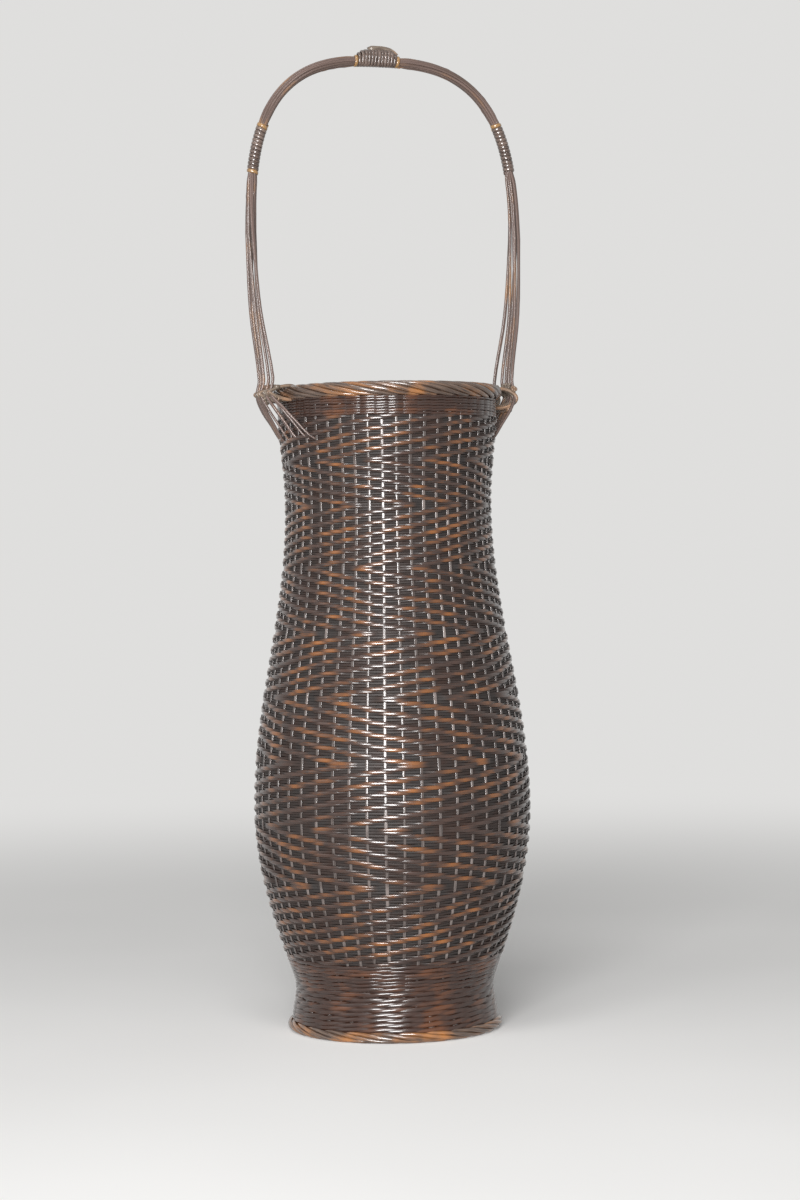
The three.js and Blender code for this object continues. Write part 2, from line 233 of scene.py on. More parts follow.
class BasketSettings(PropertyGroup):
    """All settings of the basket."""

    weave: PointerProperty(type=WeaveSizes)
    borders: PointerProperty(type=BorderSizes)
    handle: PointerProperty(type=HandleSizes)
    tube: PointerProperty(type=TubeSizes)
    finishes: PointerProperty(type=Finishes)
    stage: PointerProperty(type=StageSettings)


# The wall's shape, read from the frame

def node_height(node):
    """Lowest and highest height of a solid."""
    low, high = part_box(node)
    return low.z, high.z


def edge_rings(node):
    """Height and outer radius of a turned solid's lowest and highest ring."""
    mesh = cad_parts[node].data
    points = np.empty(len(mesh.vertices) * 3, np.float32)
    mesh.vertices.foreach_get("co", points)
    points = points.reshape(-1, 3).astype(float)
    radius = np.hypot(points[:, 0], points[:, 1])
    ends = points[:, 2].min(), points[:, 2].max()
    return [(end, radius[np.abs(points[:, 2] - end) < 1e-5].max()) for end in ends]


WALL_HEIGHTS, WALL_RADII = np.array([ring for node in BAND_NODES for ring in edge_rings(node)]).T
WALL_SLOPES = np.gradient(WALL_RADII, WALL_HEIGHTS)


def cubic_piece(start, end, start_slope, end_slope, width, t):
    """A cubic from start to end over a width, with a given slope at each end, at the part t of the width."""
    from_start = start * (1 + 2 * t) + start_slope * width * t
    from_end = end * (3 - 2 * t) - end_slope * width * (1 - t)
    return from_start * (1 - t) ** 2 + from_end * t ** 2


def wall_radius(height):
    """Outer radius of the wall: cubic pieces through the bands' edges, which keep the slope at each edge."""
    low = np.clip(np.searchsorted(WALL_HEIGHTS, height) - 1, 0, len(WALL_HEIGHTS) - 2)
    high = low + 1
    width = WALL_HEIGHTS[high] - WALL_HEIGHTS[low]
    t = (height - WALL_HEIGHTS[low]) / width
    return cubic_piece(WALL_RADII[low], WALL_RADII[high], WALL_SLOPES[low], WALL_SLOPES[high], width, t)


def wall_slope(height):
    """Change of the wall's radius with height, from two heights close together."""
    step = 0.0005
    return (wall_radius(height + step) - wall_radius(height - step)) / (2 * step)


def band_edges():
    """Heights where one band gives way to the next: halfway between the solids' facing edges."""
    ends = np.array([node_height(node) for node in BAND_NODES])
    meets = (ends[:-1, 1] + ends[1:, 0]) / 2
    return np.concatenate((ends[:1, 0], meets, ends[-1:, 1]))


# Surfaces

def unit(vectors):
    """Vectors brought to length one."""
    return vectors / np.linalg.norm(vectors, axis=-1, keepdims=True)


def smoothstep(value):
    """Zero below 0, one above 1 and a smooth cubic rise between."""
    value = np.clip(value, 0.0, 1.0)
    return value * value * (3 - 2 * value)


def signed_power(value, power):
    """A power of the value's size, with the value's sign."""
    return np.sign(value) * np.abs(value) ** power


def even_turns(number):
    """Even angles over one full turn."""
    return 2 * np.pi * np.arange(number) / number


def outward(turn):
    """Level direction at an angle round the axis."""
    return np.stack((np.cos(turn), np.sin(turn), np.zeros_like(turn)), axis=-1)


def swept(centre, first, second, half_first, half_second, sides, square=1.0):
    """A section carried along strands. Point j of a ring is the centre, plus half_first along first times
    the cosine of its angle, plus half_second along second times the sine. Powers of the cosine and sine
    below one square the section off."""
    turn = 2 * np.pi * (np.arange(sides) + 0.5) / sides
    cosine = signed_power(np.cos(turn), square)
    sine = signed_power(np.sin(turn), square)
    rings = centre.shape[:-1]
    out = (np.broadcast_to(half_first, rings)[..., None] * cosine)[..., None] * first[..., None, :]
    along = (np.broadcast_to(half_second, rings)[..., None] * sine)[..., None] * second[..., None, :]
    return centre[..., None, :] + out + along


def on_wall(turn, radius, height, half_out, half_up, sides, square=1.0):
    """Strands laid round the axis. Ring i of strand k has its centre at angle turn[i], radius[k, i] and
    height[k, i], and its section leans with the wall's slope."""
    out = outward(turn)
    slope = wall_slope(height)[..., None]
    reach = np.sqrt(1 + slope ** 2)
    centre = radius[..., None] * out + height[..., None] * UP
    across = (out - slope * UP) / reach
    return swept(centre, across, (slope * out + UP) / reach, half_out, half_up, sides, square)


def smooth_path(stations, steps):
    """Smooth curves through stations[k, i]: cubic pieces whose slope at a station is the chord from the
    station before to the one after, shared out by distance."""
    gaps = np.linalg.norm(np.diff(stations, axis=1), axis=-1)
    place = np.concatenate((np.zeros_like(gaps[:, :1]), np.cumsum(gaps, axis=1)), axis=1)[..., None]
    slope = np.empty_like(stations)
    slope[:, 1:-1] = (stations[:, 2:] - stations[:, :-2]) / (place[:, 2:] - place[:, :-2])
    slope[:, 0] = (stations[:, 1] - stations[:, 0]) / gaps[:, 0, None]
    slope[:, -1] = (stations[:, -1] - stations[:, -2]) / gaps[:, -1, None]
    t = (np.arange(steps) / steps)[:, None]
    before = np.s_[:, :-1, None]
    after = np.s_[:, 1:, None]
    width = gaps[..., None, None]
    inner = cubic_piece(stations[before], stations[after], slope[before], slope[after], width, t)
    return np.concatenate((inner.reshape(len(stations), -1, 3), stations[:, -1:]), axis=1)


def along_path(centre, reference, closed=False):
    """Two directions square to a path: the first lies in the plane of the reference and the path, and the
    second is square to both."""
    if closed:
        tangent = np.roll(centre, -1, axis=1) - np.roll(centre, 1, axis=1)
    else:
        tangent = np.gradient(centre, axis=1)
    tangent = unit(tangent)
    second = unit(np.cross(tangent, reference))
    return np.cross(second, tangent), second


def strand_faces(rings, sides, closed):
    """Quads of one strand as ring and side numbers of their corners: its wall and, unless it closes on
    itself, its two ends, which are filled by quads from side to side."""
    ring, side = np.meshgrid(np.arange(rings if closed else rings - 1), np.arange(sides), indexing="ij")
    corner_rings = np.stack((ring, ring, ring + 1, ring + 1), axis=-1).reshape(-1, 4)
    corner_sides = np.stack((side, side + 1, side + 1, side), axis=-1).reshape(-1, 4)
    if closed:
        return corner_rings, corner_sides
    step = np.arange(sides // 2 - 1)
    end = np.stack((step, step + 1, sides - 2 - step, sides - 1 - step), axis=-1)
    end_rings = np.concatenate((corner_rings, np.zeros_like(end), np.full_like(end, rings - 1)))
    return end_rings, np.concatenate((corner_sides, end[:, ::-1], end))


def strand_piece(name, points, finish, nodes, closed=False, tone=None, lift=None, body="basket"):
    """Makes one piece of like strands from points[strand, ring, side]. Its map named strand runs in metres
    along each strand and once round it. Its attribute tone is one number for each strand, and lift says
    how far out of the weave a ring stands."""
    strands, rings, sides = points.shape[:3]
    centre = points.mean(axis=2)
    if closed:
        centre = np.concatenate((centre, centre[:, :1]), axis=1)
    steps = np.linalg.norm(np.diff(centre, axis=1), axis=-1)
    run = np.concatenate((np.zeros((strands, 1)), np.cumsum(steps, axis=1)), axis=1)
    corner_rings, corner_sides = strand_faces(rings, sides, closed)
    one = corner_rings % rings * sides + corner_sides % sides
    corners = points[0].reshape(-1, 3)[one]
    normal = np.cross(corners[:, 2] - corners[:, 0], corners[:, 3] - corners[:, 1])
    if np.sum(normal * corners.mean(axis=1)) < 0:
        corner_rings, corner_sides, one = corner_rings[:, ::-1], corner_sides[:, ::-1], one[:, ::-1]
    faces = (np.arange(strands)[:, None, None] * rings * sides + one).reshape(-1, 4)
    across = np.broadcast_to(corner_sides / sides, (strands, *corner_sides.shape))
    chart = np.stack((run[:, corner_rings], across), axis=-1)

    mesh = bpy.data.meshes.new(name)
    mesh.vertices.add(points.size // 3)
    mesh.vertices.foreach_set("co", points.astype(np.float32).ravel())
    mesh.loops.add(faces.size)
    mesh.loops.foreach_set("vertex_index", faces.astype(np.int32).ravel())
    mesh.polygons.add(len(faces))
    mesh.polygons.foreach_set("loop_start", np.arange(0, faces.size, 4, dtype=np.int32))
    mesh.uv_layers.new(name="strand").uv.foreach_set("vector", chart.astype(np.float32).ravel())
    tone = np.full(strands, 0.5) if tone is None else tone
    lift = np.ones(1) if lift is None else lift
    for label, values in (("tone", tone[:, None, None]), ("lift", lift[..., None])):
        spread = np.broadcast_to(values, points.shape[:3]).astype(np.float32)
        mesh.attributes.new(label, "FLOAT", "POINT").data.foreach_set("value", spread.ravel())
    mesh.update(calc_edges=True)
    mesh.shade_smooth()
    mesh.materials.append(finish)

    piece = bpy.data.objects.new(name, mesh)
    bpy.context.collection.objects.link(piece)
    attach(piece, body)
    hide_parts(*nodes)


# Materials

def fill(tree, node, sockets):
    """Fills a node's sockets with values or links."""
    for key, value in sockets.items():
        if isinstance(value, bpy.types.NodeSocket):
            tree.links.new(value, node.inputs[key])
        else:
            node.inputs[key].default_value = value


def add_node(tree, kind, sockets=None, **settings):
    """Adds a node, makes its settings and fills its sockets."""
    made = tree.nodes.new(kind)
    for name, value in settings.items():
        setattr(made, name, value)
    fill(tree, made, sockets or {})
    return made


def math_node(tree, operation, first, second):
    """The result of one operation on two values or sockets."""
    return add_node(tree, "ShaderNodeMath", {0: first, 1: second}, operation=operation).outputs[0]


def times(tree, first, second):
    """The product of two values or sockets."""
    return math_node(tree, "MULTIPLY", first, second)


def added(tree, first, *others):
    """The sum of several values or sockets."""
    for other in others:
        first = math_node(tree, "ADD", first, other)
    return first


def mix_colours(tree, factor, first, second):
    """A colour between two, by a factor from 0 to 1."""
    return add_node(tree, "ShaderNodeMix", {0: factor, 6: first, 7: second}, data_type="RGBA").outputs[2]


def ramp(tree, value, low, high, low_out=0.0, high_out=1.0):
    """A value spread from one range to another, held at the ends."""
    sockets = {"Value": value, "From Min": low, "From Max": high, "To Min": low_out, "To Max": high_out}
    return add_node(tree, "ShaderNodeMapRange", sockets).outputs[0]


def noise(tree, vector, scale, detail):
    """Smooth noise from about 0.25 to 0.75."""
    sockets = {"Vector": vector, "Scale": scale, "Detail": detail}
    return add_node(tree, "ShaderNodeTexNoise", sockets).outputs[0]


def object_place(tree):
    """The place of a point on its object, in metres."""
    return add_node(tree, "ShaderNodeTexCoord").outputs["Object"]


def attribute(tree, name):
    """A number that the mesh holds for each of its points."""
    return add_node(tree, "ShaderNodeAttribute", attribute_name=name).outputs["Fac"]


def new_material(name):
    """A new material with its node tree and its shader."""
    material = bpy.data.materials.new(name)
    material.use_nodes = True
    tree = material.node_tree
    return material, tree, tree.nodes["Principled BSDF"]


def strip_group():
    """Shared look of a split strip: grain that runs along the strand, stain worn off in patches where it
    stands out of the weave, and where it lies deep a dull colour that is partly dust and partly painted
    sheen. Puts out colour, roughness, the weight of the lacquer's coat, which is thickest where the strand
    stands out, and height."""
    name = "split strip"
    if name in bpy.data.node_groups:
        return bpy.data.node_groups[name]
    tree = bpy.data.node_groups.new(name, "ShaderNodeTree")
    sockets = (
        ("INPUT", "Color", ("Dark", "Body", "Worn", "Dust and sheen")),
        ("INPUT", "Float", ("Wear", "Polish", "Grain", "Streak", "Lacquer")),
        ("OUTPUT", "Color", ("Color",)),
        ("OUTPUT", "Float", ("Roughness", "Coat", "Height")),
    )
    for way, kind, labels in sockets:
        for label in labels:
            tree.interface.new_socket(label, in_out=way, socket_type=f"NodeSocket{kind}")
    given = tree.nodes.new("NodeGroupInput").outputs
    result = tree.nodes.new("NodeGroupOutput")

    tone = attribute(tree, "tone")
    lift = attribute(tree, "lift")
    chart = add_node(tree, "ShaderNodeUVMap", uv_map="strand").outputs[0]
    along, round_it = add_node(tree, "ShaderNodeSeparateXYZ", {0: chart}).outputs[:2]
    # Far enough apart that no two strands share their grain
    own_grain = 91.0
    grain_place = {0: times(tree, along, given["Streak"]), 1: times(tree, round_it, given["Grain"]),
                   2: times(tree, tone, own_grain)}
    fibre = noise(tree, add_node(tree, "ShaderNodeCombineXYZ", grain_place).outputs[0], 1.0, 4.0)
    patches_per_metre = 62.0
    patch = noise(tree, object_place(tree), patches_per_metre, 2.0)

    stained = mix_colours(tree, ramp(tree, fibre, 0.30, 0.62), given["Dark"], given["Body"])
    rubbing = added(tree, patch, times(tree, tone, 0.28), times(tree, fibre, 0.35), given["Wear"])
    worn = times(tree, ramp(tree, rubbing, 0.78, 1.12), lift)
    rubbed = mix_colours(tree, worn, stained, given["Worn"])
    # Where a strip lies deep it turns to the dust colour and grows rougher; on the weft that grey is partly
    # dust and partly painted sheen
    deep = math_node(tree, "SUBTRACT", 1.0, lift)
    dust_and_sheen = times(tree, deep, ramp(tree, patch, 0.25, 0.6, 0.45, 0.95))
    dull = added(tree, times(tree, dust_and_sheen, 0.22), given["Polish"], ramp(tree, fibre, 0.3, 0.7, 0.08, -0.04))
    fill(tree, result, {"Color": mix_colours(tree, dust_and_sheen, rubbed, given["Dust and sheen"]), "Roughness": dull,
                        "Coat": times(tree, given["Lacquer"], lift), "Height": fibre})
    return tree


def strip_material(name, dark, body, worn, dust_and_sheen, wear, polish, grain, coat, streak=130.0):
    """A stained and lacquered strip, made once from the shared look and its own colours and polish."""
    if name in bpy.data.materials:
        return bpy.data.materials[name]
    material, tree, shader = new_material(name)
    given = {"Dark": (*dark, 1), "Body": (*body, 1), "Worn": (*worn, 1), "Dust and sheen": (*dust_and_sheen, 1),
             "Wear": wear, "Polish": polish, "Grain": grain, "Streak": streak, "Lacquer": coat}
    look = add_node(tree, "ShaderNodeGroup", given, node_tree=strip_group()).outputs
    bump = add_node(tree, "ShaderNodeBump", {"Strength": 0.1, "Distance": 0.0002, "Height": look["Height"]})
    fill(tree, shader, {"Base Color": look["Color"], "Roughness": look["Roughness"],
                        "Coat Weight": look["Coat"], "Normal": bump.outputs[0],
                        "Specular IOR Level": 0.15, "Coat IOR": 1.6, "Coat Roughness": 0.16})
    return material


def weft_finish(finishes):
    """Weft: dark stain worn to orange on the floats, and between the stakes a dull grey that is partly dust
    and partly painted sheen.
    """
    return strip_material("lacquered weft", finishes.weft_dark, finishes.weft_body, finishes.weft_worn,
                          finishes.weft_dust_and_sheen, wear=0.03, polish=0.26, grain=7.0, coat=0.9)


def twine_finish(finishes):
    """Twined strands: darker than the twill, with less wear."""
    return strip_material("lacquered twine", finishes.weft_dark, finishes.twine_body, finishes.twine_worn,
                          finishes.twine_dust, wear=0.0, polish=0.24, grain=7.0, coat=1.0)


def stake_finish(finishes):
    """Stakes and floor: greyer and paler than the weft."""
    return strip_material("lacquered stake", finishes.weft_dark, finishes.stake_body, finishes.stake_worn,
                          finishes.weft_dust_and_sheen, wear=0.0, polish=0.32, grain=11.0, coat=0.6)


def border_finish(finishes):
    """Border strands: taupe, with orange where they are rubbed."""
    return strip_material("rolled border", finishes.weft_dark, finishes.border_body, finishes.border_worn,
                          finishes.border_dust, wear=-0.03, polish=0.32, grain=13.0, coat=0.9)


def cane_finish(finishes):
    """Handle canes: greyed and satin, with a few orange touches."""
    return strip_material("greyed cane", finishes.cane_dark, finishes.cane_body, finishes.cane_worn,
                          finishes.cane_body, wear=-0.14, polish=0.27, grain=12.0, coat=0.25, streak=30.0)


def binding_finish(finishes):
    """Binding strips: dark and glossy, with golden ends."""
    return strip_material("binding strip", finishes.weft_dark, finishes.binding_body, finishes.binding_worn,
                          finishes.binding_body, wear=0.2, polish=0.26, grain=6.0, coat=0.9)


def tie_finish(finishes):
    """Tie strips: pale and satin."""
    return strip_material("tie strip", finishes.cane_dark, finishes.tie_body, finishes.tie_worn,
                          finishes.tie_body, wear=-0.05, polish=0.40, grain=9.0, coat=0.2)


# Operators

class BASKET_OT_stakes(Operator):
    """Stand the upright strips in the middle of the wall"""

    bl_idname = "basket.stakes"
    bl_label = "Stakes"

    def execute(self, context):
        """Flat strips that follow the wall's profile, each a little off its even place and even width."""
        settings = context.scene.flower_basket
        weave = settings.weave
        number = weave.stakes
        stray = 0.0022
        unevenness = 0.05
        draws = np.random.default_rng(11)
        height = np.linspace(node_height("foot_band")[0], node_height("mouth_border")[0], 90)
        turn = even_turns(number)[:, None] + draws.normal(0, stray, (number, 1))
        out = outward(np.broadcast_to(turn, (number, len(height))))
        centre = stake_radius(height, weave)[:, None] * out + height[:, None] * UP
        half_width = weave.stake_width / 2 * draws.normal(1, unevenness, (number, 1))
        side = np.cross(UP, out)
        points = swept(centre, out, side, weave.stake_thick / 2, half_width, sides=8, square=0.6)
        strand_piece("stakes", points, stake_finish(settings.finishes), ["stake_cage"],
                     tone=draws.random(number))
        return {"FINISHED"}


def stake_radius(height, weave):
    """Radius of the stakes' middle. Their outer face lies inside the wall's by a strip's thickness and half
    a float's swell."""
    return wall_radius(height) - weave.strip_thick - weave.float_swell / 2 - weave.stake_thick / 2


class BASKET_OT_twill_bands(Operator):
    """Weave the twill bands, each slanting the other way from the one below"""

    bl_idname = "basket.twill_bands"
    bl_label = "Twill bands"

    def execute(self, context):
        """Rows of strips that pass over two stakes and under two. Each row is one stake further round
        than the row below, to the right in one band and to the left in the next."""
        settings = context.scene.flower_basket
        weave = settings.weave
        draws = np.random.default_rng(23)
        edges = band_edges()[2:]
        shift = 0
        for band, node in enumerate(TWILL_NODES):
            step = 1 if band % 2 == 0 else -1
            rows = weave.twill_rows[band]
            shifts = shift + step * np.arange(rows)
            shift = shifts[-1]
            points, lift = twill_rows(weave, edges[band], edges[band + 1], shifts, step, draws)
            strand_piece(f"twill_{node}", points, weft_finish(settings.finishes),
                         [node], closed=True, tone=draws.random(rows), lift=lift)
        return {"FINISHED"}


def out_of_weave(phase):
    """One where a strand lies outside the stakes, zero where it lies inside: a smooth step of the cosine."""
    return smoothstep(0.5 + 0.75 * np.cos(phase))


def twill_rows(weave, low, high, shifts, step, draws, samples=6):
    """Surface of one twill band. With u the angle from the middle of a float, one full turn for a repeat,
    the strip's depth is a smooth step of the cosine: outside the stakes at the float and inside them
    elsewhere. Towards its middle a float is wider, thicker and further out. The rows wander a little on
    their way round, most in the middle of the band."""
    rows = len(shifts)
    pitch = (high - low) / rows
    place = np.arange(weave.stakes * samples) / samples
    turn = 2 * np.pi * place / weave.stakes
    u = 2 * np.pi * (place - shifts[:, None] - (weave.over - 1) / 2) / (weave.over + weave.under)
    lift = out_of_weave(u)
    belly = np.clip(np.cos(u), 0, 1)
    row = np.arange(rows)[:, None] + 0.5
    start = draws.uniform(0, 2 * np.pi, 2)
    waves = np.sin(3 * turn + start[0]) + 0.6 * np.sin(7 * turn + start[1])
    wander = 0.4 * (np.sin(np.pi * row / rows) * waves)
    stray = draws.normal(0, 0.012, (rows, 1))
    height = low + pitch * (row + wander + stray + weave.float_tilt * step * np.sin(u) * lift)
    depth = (weave.stake_thick + weave.strip_thick) / 2
    radius = stake_radius(height, weave) + depth * (2 * lift - 1) + weave.float_swell * belly
    half_out = weave.strip_thick / 2 + weave.float_round * belly
    half_up = pitch * (0.57 + 0.16 * belly ** 1.5)
    return on_wall(turn, radius, height, half_out, half_up, sides=8, square=0.75), belly ** 1.2


class BASKET_OT_twined_bands(Operator):
    """Twine the close rows of the neck, the base and the foot"""

    bl_idname = "basket.twined_bands"
    bl_label = "Twined bands"

    def execute(self, context):
        """Rows of two strands that cross: at the foot and the base once in two stakes, and at the neck once
        in each. The rows at the ends reach a little into the borders."""
        settings = context.scene.flower_basket
        weave = settings.weave
        draws = np.random.default_rng(37)
        edges = band_edges()
        into_border = 0.0006
        foot = node_height("foot_border")[1] - into_border
        mouth = node_height("mouth_border")[0] + into_border
        bands = {"foot_band": (weave.foot_rows, foot, edges[1], 2),
                 "base_band": (weave.base_rows, edges[1], edges[2], 2),
                 "neck_band": (weave.neck_rows, edges[-2], mouth, 1)}
        for node, (rows, low, high, span) in bands.items():
            points, lift = twined_rows(weave, low, high, rows, span, draws)
            strand_piece(f"twined_{node}", points, twine_finish(settings.finishes),
                         [node], closed=True, tone=draws.random(2 * rows), lift=lift)
        return {"FINISHED"}


def twined_rows(weave, low, high, rows, span, draws, samples=8):
    """Surface of one twined band. Both strands of a row swing in and out by the cosine of a phase that grows
    by half a turn for each span of stakes, one out where the other is in, and up and down by its sine, so
    that they cross. Each row wanders a little up and down on its way round."""
    pitch = (high - low) / rows
    half_out = pitch * 0.34
    half_up = pitch * 0.54
    place = np.arange(weave.stakes * samples) / samples
    turn = 2 * np.pi * place / weave.stakes
    row = np.repeat(np.arange(rows), 2)[:, None] + 0.5
    offset = np.repeat(draws.integers(0, 2 * span, rows), 2)[:, None] / span
    phase = np.pi * (place / span + offset + np.tile((0, 1), rows)[:, None])
    start = draws.uniform(0, 2 * np.pi, (rows, 1))
    wander = 0.08 * np.repeat(np.sin(3 * turn + start) + np.sin(5 * turn + 2 * start), 2, axis=0)
    height = low + pitch * (row + wander + 0.08 * span * np.sin(phase))
    radius = wall_radius(height) - half_out - weave.twine_depth / 2 * (1 - np.cos(phase))
    lift = 0.4 + 0.3 * out_of_weave(phase)
    return on_wall(turn, radius, height, half_out, half_up, sides=8), lift


class BASKET_OT_borders(Operator):
    """Roll the strands of the mouth border and the foot border"""

    bl_idname = "basket.borders"
    bl_label = "Borders"

    def execute(self, context):
        """Ropes of strands laid round a ring, the foot's worn flat where it stands."""
        settings = context.scene.flower_basket
        borders = settings.borders
        draws = np.random.default_rng(41)
        plans = {"mouth_border": (borders.mouth_strands, borders.mouth_turns),
                 "foot_border": (borders.foot_strands, borders.foot_turns)}
        for node, (strands, turns) in plans.items():
            points = rolled_rope(node, strands, turns)
            points[..., 2] = np.maximum(points[..., 2], 0.0)
            strand_piece(f"rolled_{node}", points, border_finish(settings.finishes),
                         [node], closed=True, tone=draws.random(strands))
        return {"FINISHED"}


def rolled_rope(node, strands, turns, samples=360):
    """Strands wound on a ring. Going round the axis, each strand's angle about the ring falls by its turns,
    and its section is widened along the ring's skin so that neighbours meet."""
    low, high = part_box(node)
    outer = (high.z - low.z) / 2
    ring = (high.x - low.x) / 2 - outer
    middle = (high.z + low.z) / 2
    lie = outer / (1 + np.sin(np.pi / strands))
    half = outer - lie
    turn = even_turns(samples)
    about = even_turns(strands)[:, None] - turns * turn
    cosine = np.cos(about)[..., None]
    sine = np.sin(about)[..., None]
    out = outward(turn)
    first = cosine * out + sine * UP
    second = cosine * UP - sine * out
    centre = ring * out + middle * UP + lie * first
    slant = np.hypot(1.0, turns * lie / ring)
    return swept(centre, first, second, half, half * slant, sides=10, square=0.72)


class BASKET_OT_base_mat(Operator):
    """Weave the floor of the basket"""

    bl_idname = "basket.base_mat"
    bl_label = "Base mat"

    def execute(self, context):
        """Radial strips with rings woven over and under them."""
        settings = context.scene.flower_basket
        weave = settings.weave
        draws = np.random.default_rng(53)
        finish = stake_finish(settings.finishes)
        strand_piece("floor_spokes", floor_spokes(weave), finish, ["base_mat"],
                     tone=draws.random(weave.mat_spokes))
        points, lift = floor_rings(weave)
        strand_piece("floor_rings", points, finish, ["base_mat"], closed=True,
                     tone=draws.random(weave.mat_rings), lift=lift)
        return {"FINISHED"}


def floor_spokes(weave):
    """Flat strips from the hub out to the floor's edge, narrower near the hub so that they don't overlap."""
    low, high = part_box("base_mat")
    hub = 0.004
    half_thick = 0.00035
    widest_half = 0.0021
    reach = np.linspace(hub, high.x, 24)
    turn = even_turns(weave.mat_spokes)[:, None]
    out = outward(np.broadcast_to(turn, (weave.mat_spokes, len(reach))))
    upwards = np.broadcast_to(UP, out.shape)
    centre = reach[:, None] * out + (high.z + low.z) / 2 * UP
    half_width = np.minimum(widest_half, reach * np.pi / weave.mat_spokes * 0.8)
    return swept(centre, upwards, np.cross(UP, out), half_thick, half_width, sides=8, square=0.6)


def floor_rings(weave, samples=8):
    """Rings whose height swings by a cosine over one spoke and under the next, each ring the other way from
    the one inside it."""
    low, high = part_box("base_mat")
    inner = 0.007
    outer = high.x - 0.001
    swing = 0.00075
    half_thick = 0.00036
    radius = np.linspace(inner, outer, weave.mat_rings)[:, None]
    pitch = (outer - inner) / (weave.mat_rings - 1)
    turn = even_turns(weave.mat_spokes * samples)
    phase = turn * weave.mat_spokes / 2 + np.pi * np.arange(weave.mat_rings)[:, None]
    out = np.broadcast_to(outward(turn), (*phase.shape, 3))
    upwards = np.broadcast_to(UP, out.shape)
    height = (high.z + low.z) / 2 + swing * np.cos(phase)
    centre = radius[..., None] * out + height[..., None] * UP
    points = swept(centre, upwards, out, half_thick, pitch * 0.47, sides=6)
    return points, 0.4 + 0.3 * np.abs(np.cos(phase))


def arch_frame(handle, along):
    """Centre and outward direction of the handle's arch at lengths counted from its crown towards +X, and
    half of its whole length. The arch is the upper half of a superellipse, measured along by summing short
    chords; outwards is the slope of the superellipse's own sum of powers."""
    turn = np.linspace(-np.pi / 2, np.pi / 2, 4001)
    x = handle.half_span * signed_power(np.sin(turn), 2 / handle.power)
    z = handle.rise * signed_power(np.cos(turn), 2 / handle.power)
    run = np.concatenate(((0.0,), np.cumsum(np.hypot(np.diff(x), np.diff(z)))))
    run -= run[-1] / 2
    x = np.interp(along, run, x)
    z = np.interp(along, run, z)
    slope_x = signed_power(x / handle.half_span, handle.power - 1) / handle.half_span
    slope_z = signed_power(z / handle.rise, handle.power - 1) / handle.rise
    nothing = np.zeros_like(x)
    centre = np.stack((x, nothing, z + handle.spring), axis=-1)
    return centre, unit(np.stack((slope_x, nothing, slope_z), axis=-1)), run[-1]


def half_arch(handle):
    """Half of the arch's length."""
    return arch_frame(handle, np.zeros(1))[2]


def binding_places(handle):
    """Middle and length of each binding along the arch."""
    end = half_arch(handle)
    reach = handle.binding_length
    return {"binding_left": (handle.left_gather + reach / 2 - end, reach),
            "binding_right": (end - handle.right_gather - reach / 2, reach),
            "binding_crown": (-handle.crown_shift, handle.crown_length)}


def half_cane(handle):
    """Half of a split cane's section: more than half of its width, so that it presses on its neighbours."""
    return handle.split_width * 0.62


def bundle_ring(handle, along):
    """Radius on which the canes lie, drawn in smoothly under each binding."""
    margin = 0.005
    ease = 0.007
    drawn = np.zeros_like(along)
    for place, reach in binding_places(handle).values():
        drawn = drawn + smoothstep((reach / 2 + margin - np.abs(along - place)) / ease)
    return handle.ring * (1 - handle.draw_in * drawn)


def leg_turns(handle, side):
    """Angles of one side's legs round the axis, counted from the arch's plane."""
    stray = handle.left_stray if side == "left" else handle.right_stray
    return handle.leg_step * (np.arange(CANES) - (CANES - 1) / 2) + np.array(stray)


def bundle_places(handle):
    """Angles in the bundle of the canes' halves, ordered across the arch so that the legs don't cross."""
    turn = handle.bundle_turn + even_turns(CANES)
    turn = turn[np.argsort(np.sin(turn))]
    return (turn[:, None] + handle.split_angle * np.array((-1, 1)) * np.sign(np.cos(turn))[:, None]).ravel()


def fanned(height, gather):
    """How far the legs have fanned out at a height: none at the gather, all at the middle of the rim."""
    rim = sum(node_height("mouth_border")) / 2
    return np.clip((gather - height) / (gather - rim), 0, 1) ** 0.8


def beside_arch(handle, places, ring, turn, spread):
    """Distance of the half canes across the arch, between their place in the bundle and their leg's."""
    return ring * np.sin(places) * (1 - spread) + handle.leg_radius * np.sin(turn) * spread


def cane_paths(handle):
    """Paths of the ten half canes, from the tail on the left wall over the arch to the tail on the right.
    In the bundle they lie on a ring about the arch; below the bindings they fan out to their legs, pass
    outside the mouth border and end tucked into the wall."""
    places = bundle_places(handle)[:, None]
    end = half_arch(handle)
    along = np.linspace(-end, end, 61)
    centre, out, _ = arch_frame(handle, along)
    gathers = arch_frame(handle, end - np.array((handle.left_gather, handle.right_gather)))[0][:, 2]
    legs = np.stack([np.repeat(leg_turns(handle, side), 2) for side in SIDES])[..., None]
    halves = np.tile((-1, 1), CANES)[:, None]
    half_gap = 0.002
    turns = legs + halves * half_gap
    unevenness = 0.03
    stray = np.random.default_rng(61).normal(0, unevenness, legs.shape)
    tails = legs * handle.tail_splay + halves * handle.tail_split + stray

    on_left = along < 0
    spread = fanned(centre[:, 2], np.where(on_left, *gathers))
    ring = bundle_ring(handle, along)
    aside = beside_arch(handle, places, ring, np.where(on_left, *turns), spread)
    arch = centre + (ring * np.cos(places) * (1 - spread))[..., None] * out + aside[..., None] * ACROSS
    sides = zip(SIDES.values(), turns, tails, gathers)
    left, right = (leg_stations(handle, places, *side) for side in sides)
    return np.concatenate((left, arch, right[:, ::-1]), axis=1)


